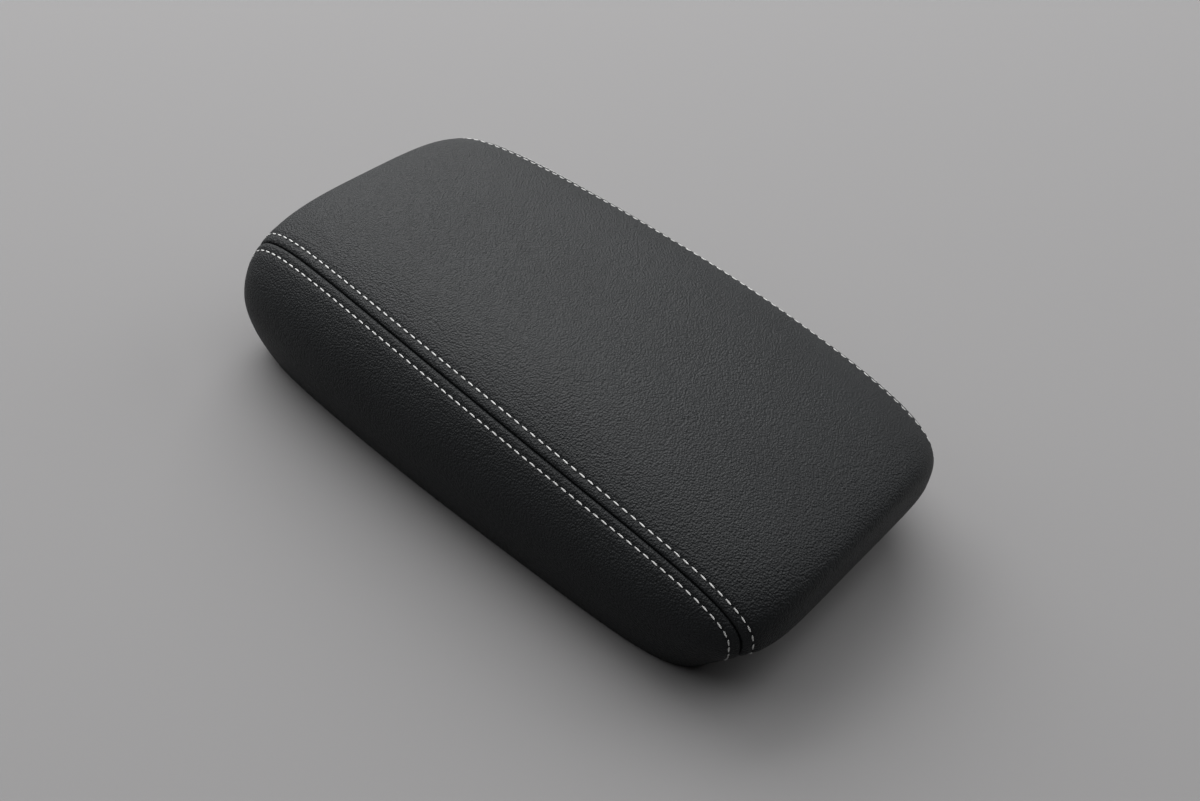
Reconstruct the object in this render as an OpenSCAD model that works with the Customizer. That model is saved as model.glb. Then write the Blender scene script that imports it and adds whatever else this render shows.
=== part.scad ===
// Centre console armrest: a padded, leather covered lid with its latch and its hinge.
// Millimetres. +Z up, X across, Y along. The front (latch) is at -Y, the hinge at +Y.
// z = 0 is the surface that the rubber buffers stand on.

/* [Pad] */
// Length of the padded lid
pad_length = 272; // [240:1:300]
// Width at the middle of the length
pad_width = 164; // [150:1:180]
// How much narrower the pad is at its front end
front_narrowing = 3.5; // [0:0.5:8]
// How much narrower the pad is at its rear end
rear_narrowing = 13.3; // [4:0.1:16]
// Height of the crown at the middle of the length
pad_height = 72; // [66:1:80]
// How much lower the top line is at the front end
front_drop = 19.5; // [10:0.5:22]
// How much lower the top line is at the rear end
rear_drop = 4; // [0:0.5:8]
// Height of the widest line above the hem
waist_height = 29; // [24:1:34]
// How far the side tucks in below the widest line
tuck = 8.3; // [6:0.1:11]
// How much further the front end is undercut at the hem
front_undercut = 11; // [0:0.5:12]

/* [Pad shape] */
// Squareness of the front corners seen from above
front_squareness = 7; // [5:0.1:12]
// Squareness of the rear corners seen from above
rear_squareness = 11.4; // [7:0.1:14]
// Squareness of the front edge seen from the side
nose_squareness = 10.4; // [6:0.1:12]
// Squareness of the rear edge seen from the side
tail_squareness = 6.5; // [5:0.1:9]
// Flatness of the top across the width
crown_flatness = 3.5; // [3:0.1:4.5]
// Squareness of the shoulder
shoulder_squareness = 2.3; // [2:0.1:3]

/* [Cover] */
// Thickness of the leather with its backing
leather_t = 1.6; // [1.2:0.1:2.2]
// Width of the hem turned under the rim
hem_w = 10; // [8:0.5:14]
// Distance of the seam from the widest line, seen from above, at the middle
seam_inset = 12.2; // [9:0.1:16]
// How much the seam turns in towards the rear, over half the length
seam_skew = 6.4; // [0:0.1:8]
// How far the seam curves in at the front end
seam_front_pull = 6.05; // [0:0.05:8]
// How far the seam curves out at the rear end
seam_rear_pull = 2.35; // [0:0.05:5]
// How far the seam runs in below the widest line at the front
seam_sweep = 14; // [0:0.5:16]
// Gap between two panels at the bottom of the seam
seam_gap = 0.5; // [0.3:0.05:0.8]
// Radius of the seam's groove
groove_r = 1.3; // [0.6:0.05:1.4]

/* [Foam and carrier] */
// Gap left between one soft layer and the next
layer_gap = 0.3; // [0.2:0.05:0.5]
// Foam thickness at the side, at the carrier's foot
foam_side = 6; // [4:0.5:9]
// Height of the carrier's top above the table
carrier_top = 46; // [42:0.5:48]
// Wall thickness of the carrier
carrier_t = 2.5; // [2:0.1:3]
// Thickness of the carrier's rim
rim_t = 2.5; // [2:0.1:3]
// Draft of the carrier's side wall over its height
carrier_draft = 6; // [4:0.5:8]
// Chamfer round the carrier's top
carrier_chamfer = 6; // [3:0.5:8]
// Thickness of the carrier's ribs
rib_t = 1.6; // [1.2:0.1:2.4]
// Depth of the carrier's ribs
rib_depth = 9; // [6:0.5:14]
// Distance between the carrier's ribs along
rib_spacing_y = 38; // [30:1:46]
// Distance between the carrier's ribs across
rib_spacing_x = 28; // [22:1:30]
// Outer radius of the screw bosses
boss_r = 4; // [3.5:0.1:5]

/* [Inner panel] */
// Wall thickness of the inner panel
panel_t = 2; // [1.6:0.1:2.4]
// Width of the flange that lies against the rim
flange_w = 9; // [7:0.5:12]
// Height of the recess's floor above the table
recess_height = 19; // [18.6:0.2:22]
// Draft of the recess's wall over its height
recess_draft = 4; // [2:0.5:6]
// Gap between the panel's screw heads and the recess's side wall at the rear
screw_side_gap = 1.6; // [0.5:0.1:4]
// Distance of the outer panel screws from the recess's end wall
screw_end_gap = 14.3; // [10:0.1:20]

/* [Screws] */
// Shank radius of the self-tapping screws
screw_r = 1.5; // [1.2:0.05:1.8]
// Head radius of the self-tapping screws
screw_head_r = 3; // [2.6:0.1:3.4]
// Head height of the self-tapping screws
screw_head_h = 1.6; // [1.2:0.1:2]
// Length of the shank that goes into a boss
screw_grip = 9; // [6:0.5:12]
// Gap between a shank and its bore
screw_clearance = 0.1; // [0.05:0.01:0.2]

/* [Hinge] */
// Gap between the hinge's ears and the recess's end wall
hinge_end_gap = 2.3; // [1:0.1:8]
// Distance of the leaf's side from the recess's side wall at its widest
hinge_side_gap = 20.3; // [18:0.1:26]
// Height of the hinge axis above the table
hinge_z = 10.5; // [10.2:0.1:10.8]
// Radius of the hinge pin
pin_r = 3; // [2.5:0.1:3.2]
// Running clearance of the pin, on the radius
pin_clearance = 0.04; // [0.02:0.01:0.08]
// Length of the leaf in front of the pin
leaf_reach = 32; // [30:0.5:38]
// Distance of the leaf's screws from the centre line
leaf_screw_x = 10; // [6:0.5:14]
// Distance of the leaf's front screws from its front edge
leaf_screw_edge = 6; // [5:0.5:8]
// Distance between the leaf's screws along
leaf_screw_pitch = 12; // [9:0.5:14]
// Thickness of the leaf's steel
leaf_t = 2.2; // [1.8:0.1:2.4]
// Radius of the ears round the pin
ear_r = 6; // [5.6:0.1:6.2]
// Wall thickness of the nylon bushes
bush_t = 1.2; // [1:0.1:1.6]
// Thickness of the bushes' flange
bush_flange_t = 1; // [0.8:0.1:1.4]
// Thickness of the bracket's steel
bracket_t = 2.5; // [2:0.1:2.8]
// Length of the bracket's foot in front of the pin
bracket_reach = 46; // [44:1:52]
// Distance of the foot's rear edge from the pin
bracket_setback = 10; // [9:0.5:12]
// Distance of the bolt holes from the bracket's ears
bolt_edge = 7.3; // [6:0.1:12]
// Distance between the bracket's bolt holes along
bolt_spacing_y = 20; // [16:1:22]
// Radius of the bracket's bolt holes
bolt_hole_r = 2.75; // [2.2:0.05:3.3]

/* [Springs] */
// Wire radius of the hinge springs
hinge_wire_r = 0.7; // [0.5:0.05:0.8]
// Mean radius of the hinge springs
hinge_coil_r = 4.5; // [4.3:0.05:4.7]
// Turns of the hinge springs
hinge_turns = 5; // [4:1:6]
// Wire radius of the latch spring
latch_wire_r = 0.4; // [0.3:0.05:0.5]
// Turns of the latch spring
latch_turns = 4; // [3:1:6]

/* [Latch] */
// Distance of the latch's pin from the recess's front wall
latch_end_gap = 31.3; // [28:0.1:34]
// Height of the latch's pin above the table
latch_z = 12; // [11.5:0.1:12.5]
// Radius of the latch's pin
latch_pin_r = 1.5; // [1.2:0.1:1.8]
// Width of the lever's finger paddle
paddle_w = 44; // [36:1:46]
// Reach of the paddle in front of the pin
paddle_reach = 17; // [15:0.5:18]
// Thickness of the lever's plastic
paddle_t = 2.6; // [2.2:0.1:3]
// Width of the hook
hook_w = 14; // [10:0.5:18]
// How far the hook hangs below the hub
hook_drop = 7; // [5:0.1:7.4]
// Length of the housing behind the pin
housing_reach = 22; // [20:0.5:26]
// Distance of the housing's screws from the centre line
housing_screw_x = 17; // [12:0.5:18]
// Distance of the housing's rear screws from its rear edge
housing_screw_edge = 4; // [3.5:0.1:5]
// Distance between the housing's screws along
housing_screw_pitch = 9; // [7:0.5:11]
// Distance between the two cheeks of the housing
cheek_gap = 48; // [47:0.5:52]

/* [Buffers] */
// Radius of the rubber buffers
buffer_r = 3.6; // [3:0.1:3.9]
// How far the buffers stand proud of the hem
buffer_proud = 1; // [0.6:0.1:2]
// Distance of the buffers from the centre line
buffer_x = 44; // [36:1:48]

/* [Hidden] */

// Gap between two hard faces that lie against each other
seat_gap = 0.05;
// Gap between a pressed-in piece and its seat, on the radius
press_gap = 0.02;

// Levels above the table
hem_z = buffer_proud;
waist_z = hem_z + waist_height;
rim_z = hem_z + leather_t + seat_gap;
rim_top = rim_z + rim_t;
floor_top = recess_height + panel_t;
ceiling_z = carrier_top - carrier_t;
leaf_top = recess_height - seat_gap;
leaf_bottom = leaf_top - leaf_t;
foot_z = 0.4;
foot_top = foot_z + bracket_t;

// Insets from the widest outline
rim_edge = tuck + leather_t + layer_gap;
carrier_foot = rim_edge + foam_side;
flange_edge = tuck + hem_w + 0.4;
recess_edge = flange_edge + flange_w;
recess_floor_edge = recess_edge + panel_t + recess_draft;

half_len = pad_length / 2;
recess_half_len = half_len - recess_floor_edge;

// Places that follow the recess
hinge_y = recess_half_len - hinge_end_gap - ear_r;
ear_edge = pad_width / 2 - recess_floor_edge - hinge_side_gap;
latch_y = latch_end_gap - recess_half_len;
panel_screw_y = recess_half_len - screw_end_gap;

// Buffer's stem, and sizes that the hinge's pieces share
buffer_stem_r = 1.5;
bush_r = pin_r + pin_clearance + bush_t;
bracket_ear_in = ear_edge + bush_flange_t + 0.3;
bracket_ear_out = bracket_ear_in + bracket_t;
bolt_x = bracket_ear_in - bolt_edge;
clip_t = 1;
pin_head_t = 2;
clip_x = bracket_ear_out + seat_gap;

// Sizes that the latch's pieces share
housing_t = 2;
housing_top = recess_height - seat_gap;
housing_bottom = housing_top - housing_t;
cheek_in = cheek_gap / 2;
cheek_out = cheek_in + 2.2;
hub_r = latch_pin_r + 2;
spring_room = 4.6;
latch_coil_r = latch_pin_r + latch_wire_r + 0.45;

leather_colour = [0.16, 0.16, 0.17];
steel_colour = "silver";
trim_plastic = [0.2, 0.2, 0.21];

// Half width of the pad at t, from -1 at the front end to 1 at the rear end
function half_width(t) =
    (pad_width - (t < 0 ? front_narrowing : rear_narrowing) * t * t) / 2;

// Height of the top line at t, before its ends are rounded
function top_line(t) =
    hem_z + pad_height - (t < 0 ? front_drop : rear_drop) * t * t;

function plan_power(t) = t < 0 ? front_squareness : rear_squareness;

function side_power(t) = t < 0 ? nose_squareness : tail_squareness;

// A rounded square's edge: 1 at the middle, 0 at the end, squarer as n grows
function round_off(t, n) = pow(max(0, 1 - pow(abs(t), n)), 1 / n);

// Directions of an outline's points, closer together at the four corners
function ring_angle(k, n) =
    let (quarter = n / 4, u = (k % quarter) / quarter * 2 - 1)
    90 * floor(k / quarter) + 45 + 45 * u * (0.5 + 0.5 * u * u);

// The pad's outline seen from above, moved in by inset
function outline(inset, n = 64) = [
    for (k = [0:n - 1])
        let (a = ring_angle(k, n),
             m = plan_power(sin(a)),
             r = pow(pow(abs(cos(a)), m) + pow(abs(sin(a)), m), -1 / m),
             t = r * sin(a))
        [(half_width(t) - inset) * r * cos(a), (half_len - inset) * t, t]
];

// Height of the pad's upper surface over a point, for a skin moved in by inset
function crown_height(x, y, inset) =
    let (t = max(-1, min(1, y / (half_len - inset))),
         w = (half_width(t) - inset) * round_off(t, plan_power(t)),
         rise = (top_line(t) - waist_z - inset) * round_off(t, side_power(t)),
         r = w > 0.001 ? min(1, abs(x) / w) : 1)
    waist_z + rise * pow(1 - pow(r, crown_flatness), 1 / shoulder_squareness);

// How far the side has tucked in, at a share of the way from the widest line to the hem
function tuck_at(share) = tuck * pow(share, 1.7);

// How far a point of the front end at t moves to the rear, at a share of the way down
function front_shift(t, share) =
    t < 0 ? front_undercut * pow(-t, 6) * (1 - pow(1 - max(0, share), 2)) : 0;

function side_height(share) = waist_z - share * (waist_z - hem_z);

function side_share(z) = (waist_z - z) / (waist_z - hem_z);

// Rings of points for a skin: level, on the side below the widest line, and on the crown
function level_ring(inset, z, n = 64) = [
    for (p = outline(inset, n)) [p[0], p[1] + front_shift(p[2], side_share(z)), z]
];

function side_ring(share, inset) = level_ring(tuck_at(share) + inset, side_height(share));

function crown_ring(scale, inset) = [
    for (p = outline(inset) * scale) [p[0], p[1], crown_height(p[0], p[1], inset)]
];

// Shares of the side and of the crown at which rings lie, closer at the shoulder
SIDE_RINGS = [0.8, 0.5, 0.25];
CROWN_RINGS = [1, 0.997, 0.984, 0.955, 0.91, 0.85, 0.77, 0.66, 0.5, 0.25];

function pad_rings(inset) = concat(
    [for (share = SIDE_RINGS) side_ring(share, inset)],
    [for (scale = CROWN_RINGS) crown_ring(scale, inset)]
);

function reversed(list) = [for (i = [len(list) - 1:-1:0]) list[i]];

function middle(ring) = [for (i = [0:len(ring) - 1]) 1] * ring / len(ring);

// A closed solid skinned over a list of rings, with a fan over each end
module loft(rings) {
    n = len(rings[0]);
    count = len(rings);
    last = (count - 1) * n;
    polyhedron(
        points = concat(
            [for (ring = rings) each ring],
            [middle(rings[0]), middle(rings[count - 1])]
        ),
        faces = concat(
            [for (i = [0:count - 2], k = [0:n - 1])
                [i * n + k, (i + 1) * n + k, (i + 1) * n + (k + 1) % n]],
            [for (i = [0:count - 2], k = [0:n - 1])
                [i * n + k, (i + 1) * n + (k + 1) % n, i * n + (k + 1) % n]],
            [for (k = [0:n - 1]) [count * n, k, (k + 1) % n]],
            [for (k = [0:n - 1]) [count * n + 1, last + (k + 1) % n, last + k]]
        )
    );
}

// A thin shell with an open bottom: the inner face first, from its top down
module shell(inner, outer) {
    loft(concat(reversed(inner), outer));
}

// Leather as one skin, before it is cut into panels
module cover_skin() {
    hem_edge = tuck + hem_w;
    hem_round = 1.2;
    shell(
        concat(
            [level_ring(hem_edge, hem_z + leather_t)],
            [level_ring(tuck + leather_t, hem_z + leather_t)],
            pad_rings(leather_t)
        ),
        concat(
            [level_ring(hem_edge, hem_z)],
            [level_ring(tuck + hem_round, hem_z)],
            [side_ring(0.96, 0)],
            pad_rings(0)
        )
    );
}

// The seam seen from above
function seam_x(y) =
    let (t = y / half_len)
    half_width(t) - seam_inset - seam_skew * t
        - (t < 0 ? seam_front_pull : -seam_rear_pull) * t * t;

// How far along the pad the seam meets the widest line, as a share of the half length
function seam_end(dir, low = 0.5, high = 1, steps = 14) =
    let (mid = (low + high) / 2,
         w = half_width(dir * mid) * round_off(mid, plan_power(dir)),
         inside = w > seam_x(dir * mid * half_len))
    steps == 0
        ? mid
        : seam_end(dir, inside ? mid : low, inside ? high : mid, steps - 1);

// A point of the seam on an end below the widest line, at an inset and a height, moved
// sideways by offset
function seam_ray(dir, inset, z, offset = 0) =
    let (t = dir * seam_end(dir),
         sweep = dir < 0 ? seam_sweep * max(0, side_share(z)) : 0)
    [(half_width(t) - inset) * round_off(t, plan_power(t)) - sweep + offset,
     (half_len - inset) * t + front_shift(t, side_share(z)),
     z];

// Points of the seam on the leather: on an end below the widest line, and over the top
function seam_low(dir, share) =
    let (inset = tuck_at(share),
         x = seam_ray(dir, inset, side_height(share))[0],
         t = dir * round_off(x / (half_width(dir) - inset), plan_power(dir)))
    [x, (half_len - inset) * t + front_shift(t, share), side_height(share)];

function seam_over(u) =
    let (dir = u < 0 ? -1 : 1,
         y = dir * seam_end(dir) * half_len * (1 - pow(1 - abs(u), shoulder_squareness)))
    [seam_x(y), y, crown_height(seam_x(y), y, 0)];

SEAM_LOW = [1, 0.7, 0.4, 0];
SEAM_PATH = concat(
    [for (share = SEAM_LOW) seam_low(-1, share)],
    [for (u = [-0.9:0.1:0.91]) seam_over(u)],
    [for (share = reversed(SEAM_LOW)) seam_low(1, share)]
);

// What lies between the two seams: over the top, and at both ends below the widest line
module centre_region(offset) {
    steps = 24;
    reach = half_len + 2;
    right = [
        for (i = [0:steps])
            let (y = reach * (2 * i / steps - 1))
            [seam_x(y) + offset, y]
    ];
    left = [for (p = reversed(right)) mirrored(p)];
    translate([0, 0, waist_z])
        linear_extrude(pad_height)
            polygon(concat(right, left));
    levels = concat([-1], [for (share = SIDE_RINGS) side_height(share)], [waist_z + 0.001]);
    for (dir = [-1, 1])
        loft([for (z = levels) end_wedge(dir, z, offset)]);
}

// The region's outline on one end at a height, from outside the pad to inside its hem
function end_wedge(dir, z, offset) =
    let (outer = seam_ray(dir, -pad_length / 4, z, offset),
         inner = seam_ray(dir, tuck + hem_w + 2, z, offset),
         ring = [outer, inner, mirrored(inner), mirrored(outer)])
    dir < 0 ? ring : reversed(ring);

function mirrored(p) = concat([-p[0]], [for (i = [1:len(p) - 1]) p[i]]);

// The groove along a seam, as a rounded bead that is cut from the leather
module seam_bead() {
    for (i = [0:len(SEAM_PATH) - 2])
        hull() {
            translate(SEAM_PATH[i]) sphere(r = groove_r, $fn = 8);
            translate(SEAM_PATH[i + 1]) sphere(r = groove_r, $fn = 8);
        }
}

module cover_top_panel() {
    color(leather_colour)
        difference() {
            intersection() {
                cover_skin();
                centre_region(-seam_gap / 2);
            }
            seam_bead();
            mirror([1, 0, 0]) seam_bead();
        }
}

module cover_side() {
    difference() {
        cover_skin();
        centre_region(seam_gap / 2);
        bar(-pad_width, 0, -pad_length, pad_length, -1, 2 * pad_height);
        seam_bead();
    }
}

module cover_side_right() {
    color(leather_colour) cover_side();
}

module cover_side_left() {
    color(leather_colour) mirror([1, 0, 0]) cover_side();
}

// Outer rings of the carrier's box, grown by gap
function carrier_rings(gap, n) = [
    level_ring(carrier_foot - gap, rim_top + gap, n),
    level_ring(carrier_foot + carrier_draft - gap, carrier_top - carrier_chamfer, n),
    level_ring(carrier_foot + carrier_draft + carrier_chamfer - gap, carrier_top + gap, n)
];

// Foam moulded round the carrier, with the leather pulled over it
module foam_pad() {
    skin_inset = leather_t + layer_gap;
    bottom_z = rim_top + layer_gap;
    color("khaki")
        shell(
            carrier_rings(layer_gap, 64),
            concat(
                [level_ring(tuck_at(side_share(bottom_z)) + skin_inset, bottom_z)],
                pad_rings(skin_inset)
            )
        );
}

// Places of the screws, seen from above
panel_screw_x = recess_width_at(panel_screw_y) - screw_side_gap - screw_head_r;
PANEL_SCREWS = [
    for (x = [-panel_screw_x, panel_screw_x], y = [-panel_screw_y, 0, panel_screw_y])
        [x, y]
];
LEAF_SCREWS = [
    for (x = [-leaf_screw_x, leaf_screw_x], y = [0, leaf_screw_pitch])
        [x, hinge_y - leaf_reach + leaf_screw_edge + y]
];
HOUSING_SCREWS = [
    for (x = [-housing_screw_x, housing_screw_x], y = [0, housing_screw_pitch])
        [x, latch_y + housing_reach - housing_screw_edge - y]
];

// Half the recess's width at its floor
function recess_width_at(y) =
    let (t = y / recess_half_len)
    (half_width(t) - recess_floor_edge) * round_off(t, plan_power(t));

module at_each(places) {
    for (p = places) translate([p[0], p[1], 0]) children();
}

module bar(x_low, x_high, y_low, y_high, z_low, z_high) {
    translate([x_low, y_low, z_low])
        cube([x_high - x_low, y_high - y_low, z_high - z_low]);
}

// Moulded shell under the foam: rim, drafted box, ribs and screw bosses
module carrier() {
    n = 64;
    rib_low = ceiling_z - rib_depth;
    rib_high = ceiling_z + carrier_t / 2;
    bosses = concat(PANEL_SCREWS, LEAF_SCREWS, HOUSING_SCREWS);
    color("darkslategray")
        difference() {
            union() {
                shell(
                    [
                        level_ring(recess_edge - 0.4, rim_z, n),
                        level_ring(recess_edge - 0.4, rim_top, n),
                        level_ring(carrier_foot + carrier_t, rim_top, n),
                        level_ring(carrier_foot + carrier_draft + carrier_t,
                            carrier_top - carrier_chamfer - carrier_t / 2, n),
                        level_ring(carrier_foot + carrier_draft + carrier_chamfer + carrier_t / 2,
                            ceiling_z, n)
                    ],
                    concat(
                        [level_ring(rim_edge, rim_z, n)],
                        [level_ring(rim_edge, rim_top, n)],
                        carrier_rings(0, n)
                    )
                );
                intersection() {
                    loft(carrier_rings(-carrier_t / 2, n));
                    union() {
                        for (x = [-rib_spacing_x, 0, rib_spacing_x])
                            bar(x - rib_t / 2, x + rib_t / 2, -half_len, half_len,
                                rib_low, rib_high);
                        for (y = rib_spacing_y * [-1.5, -0.5, 0.5, 1.5])
                            bar(-pad_width / 2, pad_width / 2, y - rib_t / 2, y + rib_t / 2,
                                rib_low, rib_high);
                    }
                }
                at_each(bosses)
                    translate([0, 0, floor_top + seat_gap])
                        cylinder(r = boss_r, h = rib_high - floor_top - seat_gap);
            }
            at_each(bosses)
                translate([0, 0, floor_top])
                    cylinder(r = screw_r + screw_clearance, h = screw_grip + 1.5);
        }
}

// Lower trim: a flange against the rim, and a recess for the latch and the hinge
module inner_panel() {
    n = 40;
    screws = concat(PANEL_SCREWS, LEAF_SCREWS, HOUSING_SCREWS);
    color(trim_plastic)
        difference() {
            shell(
                [
                    level_ring(recess_edge + panel_t, hem_z, n),
                    level_ring(recess_edge + panel_t + recess_draft, recess_height, n)
                ],
                [
                    level_ring(flange_edge, hem_z, n),
                    level_ring(flange_edge, hem_z + leather_t, n),
                    level_ring(recess_edge, hem_z + leather_t, n),
                    level_ring(recess_edge + recess_draft, floor_top, n)
                ]
            );
            at_each(screws)
                translate([0, 0, recess_height - 1])
                    cylinder(r = screw_r + screw_clearance, h = panel_t + 2);
            buffer_places()
                cylinder(r = buffer_stem_r + press_gap, h = hem_z + leather_t + 1);
        }
}

// A pan head screw that points up, its head's seat at z = 0
module screw(length) {
    tip = 1.5;
    rotate_extrude($fn = 48)
        polygon([
            [0, -screw_head_h], [screw_head_r * 0.6, -screw_head_h],
            [screw_head_r * 0.9, -screw_head_h * 0.7], [screw_head_r, -screw_head_h * 0.3],
            [screw_head_r, 0], [screw_r, 0], [screw_r, length - tip],
            [0.3, length], [0, length]
        ]);
}

// Screws at the places given, their heads against a face at seat_z
module screw_set(places, seat_z) {
    cross_w = 0.7;
    cross_l = 3.2;
    at_each(places)
        translate([0, 0, seat_z])
            difference() {
                screw(floor_top + screw_grip - seat_z);
                for (turn = [0, 90])
                    rotate(turn)
                        bar(-cross_l / 2, cross_l / 2, -cross_w / 2, cross_w / 2,
                            -screw_head_h - 1, -screw_head_h * 0.4);
            }
}

module inner_panel_screws() {
    color(steel_colour) screw_set(PANEL_SCREWS, recess_height - seat_gap);
}

module hinge_leaf_screws() {
    color(steel_colour) screw_set(LEAF_SCREWS, leaf_bottom - seat_gap);
}

module latch_housing_screws() {
    color(steel_colour) screw_set(HOUSING_SCREWS, housing_bottom - seat_gap);
}

// Push-in rubber buffers on the flange
module buffer_places() {
    inset = (flange_edge + recess_edge + panel_t) / 2;
    for (dir = [-1, 1]) {
        t = dir * round_off(buffer_x / (half_width(dir) - inset), plan_power(dir));
        for (x = [-buffer_x, buffer_x])
            translate([x, (half_len - inset) * t + front_shift(t, 1), 0]) children();
    }
}

module rubber_buffers() {
    bevel = 0.3;
    color("black")
        buffer_places()
            rotate_extrude($fn = 48)
                polygon([
                    [0, 0], [buffer_r - bevel, 0], [buffer_r, bevel],
                    [buffer_r, hem_z - seat_gap], [buffer_stem_r, hem_z - seat_gap],
                    [buffer_stem_r, hem_z + leather_t], [0, hem_z + leather_t]
                ]);
}

// A cylinder along X between two places, on an axis at y, z
module rod(x_low, x_high, y, z, r) {
    translate([x_low, y, z])
        rotate([0, 90, 0])
            cylinder(r = r, h = x_high - x_low, $fn = 64);
}

// A plate in the YZ plane between two places along X
module cheek(x_low, x_high, points) {
    translate([x_low, 0, 0])
        rotate([90, 0, 90])
            linear_extrude(x_high - x_low)
                polygon(points);
}

// Copies of what stands on the right, on both sides
module both_sides() {
    children();
    mirror([1, 0, 0]) children();
}

// Steel leaf under the recess's floor, with two ears that hold the bushes
module hinge_leaf() {
    back = hinge_y + ear_r;
    front = hinge_y - leaf_reach;
    color(steel_colour)
        difference() {
            union() {
                bar(-ear_edge, ear_edge, front, back, leaf_bottom, leaf_top);
                both_sides() {
                    rod(ear_edge - leaf_t, ear_edge, hinge_y, hinge_z, ear_r);
                    cheek(ear_edge - leaf_t, ear_edge, [
                        [hinge_y - ear_r * 0.8, hinge_z - ear_r * 0.6],
                        [back, hinge_z], [back, leaf_top],
                        [hinge_y - ear_r * 3, leaf_top],
                        [hinge_y - ear_r * 3, leaf_bottom - 0.6]
                    ]);
                }
            }
            both_sides()
                rod(ear_edge - leaf_t - 1, ear_edge + 1, hinge_y, hinge_z,
                    bush_r + press_gap);
            at_each(LEAF_SCREWS)
                translate([0, 0, leaf_bottom - 1])
                    cylinder(r = screw_r + screw_clearance, h = leaf_t + 2);
        }
}

// Flanged nylon bush in the right ear
module hinge_bush() {
    difference() {
        union() {
            rod(ear_edge - leaf_t, ear_edge + bush_flange_t, hinge_y, hinge_z, bush_r);
            rod(ear_edge + press_gap, ear_edge + bush_flange_t, hinge_y, hinge_z,
                ear_r - 0.4);
        }
        rod(ear_edge - leaf_t - 1, ear_edge + bush_flange_t + 1, hinge_y, hinge_z,
            pin_r + pin_clearance);
    }
}

module hinge_bush_right() {
    color("ivory") hinge_bush();
}

module hinge_bush_left() {
    color("ivory") mirror([1, 0, 0]) hinge_bush();
}

// Steel bracket that is bolted to the console: a foot with four holes and two ears
module hinge_bracket() {
    front = hinge_y - bracket_reach;
    rear = hinge_y - bracket_setback;
    bolt_y = (front + rear) / 2;
    color(steel_colour)
        difference() {
            union() {
                bar(-bracket_ear_out, bracket_ear_out, front, rear, foot_z, foot_top);
                both_sides() {
                    rod(bracket_ear_in, bracket_ear_out, hinge_y, hinge_z, ear_r);
                    cheek(bracket_ear_in, bracket_ear_out, [
                        [front + 8, foot_z], [rear, foot_z],
                        [hinge_y + ear_r * 0.7, hinge_z - ear_r * 0.7],
                        [hinge_y - ear_r * 0.5, hinge_z + ear_r * 0.85],
                        [front + 14, foot_top + 1]
                    ]);
                }
            }
            both_sides()
                rod(bracket_ear_in - 1, bracket_ear_out + 1, hinge_y, hinge_z,
                    pin_r + pin_clearance);
            for (x = [-1, 1], y = [-1, 1])
                translate([x * bolt_x, bolt_y + y * bolt_spacing_y / 2, -1])
                    cylinder(r = bolt_hole_r, h = foot_top + 2, $fn = 48);
        }
}

// Hinge pin with a head on the left and a groove for its clip on the right
module hinge_pin() {
    groove_slack = 0.1;
    color("gainsboro")
        difference() {
            union() {
                rod(-bracket_ear_out - seat_gap, clip_x + clip_t + 2, hinge_y, hinge_z, pin_r);
                rod(-bracket_ear_out - seat_gap - pin_head_t, -bracket_ear_out - seat_gap,
                    hinge_y, hinge_z, pin_r + 2);
            }
            difference() {
                rod(clip_x - seat_gap, clip_x + clip_t + groove_slack, hinge_y, hinge_z,
                    pin_r + 1);
                rod(clip_x - 1, clip_x + clip_t + 1, hinge_y, hinge_z, pin_r * 0.8);
            }
        }
}

// Open retaining clip in the pin's groove
module hinge_pin_clip() {
    mouth = pin_r * 0.8;
    color("gainsboro")
        difference() {
            rod(clip_x, clip_x + clip_t, hinge_y, hinge_z, pin_r + 1.8);
            rod(clip_x - 1, clip_x + clip_t + 1, hinge_y, hinge_z, pin_r * 0.8 + seat_gap);
            bar(clip_x - 1, clip_x + clip_t + 1, hinge_y - mouth, hinge_y + mouth,
                hinge_z - 2 * pin_r, hinge_z);
        }
}

// A wire swept along a path, its sides numbered round each point
function along(path, i) =
    let (step = path[min(i + 1, len(path) - 1)] - path[max(i - 1, 0)])
    step / norm(step);

module wire(path, r) {
    sides = 6;
    rings = [
        for (i = [0:len(path) - 1])
            let (d = along(path, i),
                 u = cross(d, [1, 0.05, 0.02]) / norm(cross(d, [1, 0.05, 0.02])),
                 v = cross(d, u))
            [for (k = [0:sides - 1])
                path[i] + r * (cos(360 * k / sides) * u - sin(360 * k / sides) * v)]
    ];
    loft(rings);
}

// Turns of a torsion spring round an axis along X, from its top forwards
function coil(x_start, pitch, y, z, r, turns) =
    let (steps = 12)
    [for (i = [0:round(turns * steps)])
        let (a = 360 * i / steps)
        [x_start + pitch * i / steps, y + r * sin(a), z + r * cos(a)]];

// Right hinge spring: one leg on the bracket's foot, the other under the leaf
module hinge_spring() {
    leg = 10;
    pitch = 2 * hinge_wire_r + 0.12;
    x_start = ear_edge - leaf_t - 1 - hinge_wire_r;
    turns = hinge_turns + 0.5;
    x_end = x_start - pitch * turns;
    wire(
        concat(
            [[x_start, hinge_y - leg, leaf_bottom - hinge_wire_r - seat_gap]],
            coil(x_start, -pitch, hinge_y, hinge_z, hinge_coil_r, turns),
            [[x_end, hinge_y - leg, foot_top + hinge_wire_r + seat_gap]]
        ),
        hinge_wire_r
    );
}

module hinge_spring_right() {
    color("darkgray") hinge_spring();
}

module hinge_spring_left() {
    color("darkgray") mirror([1, 0, 0]) hinge_spring();
}

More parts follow.
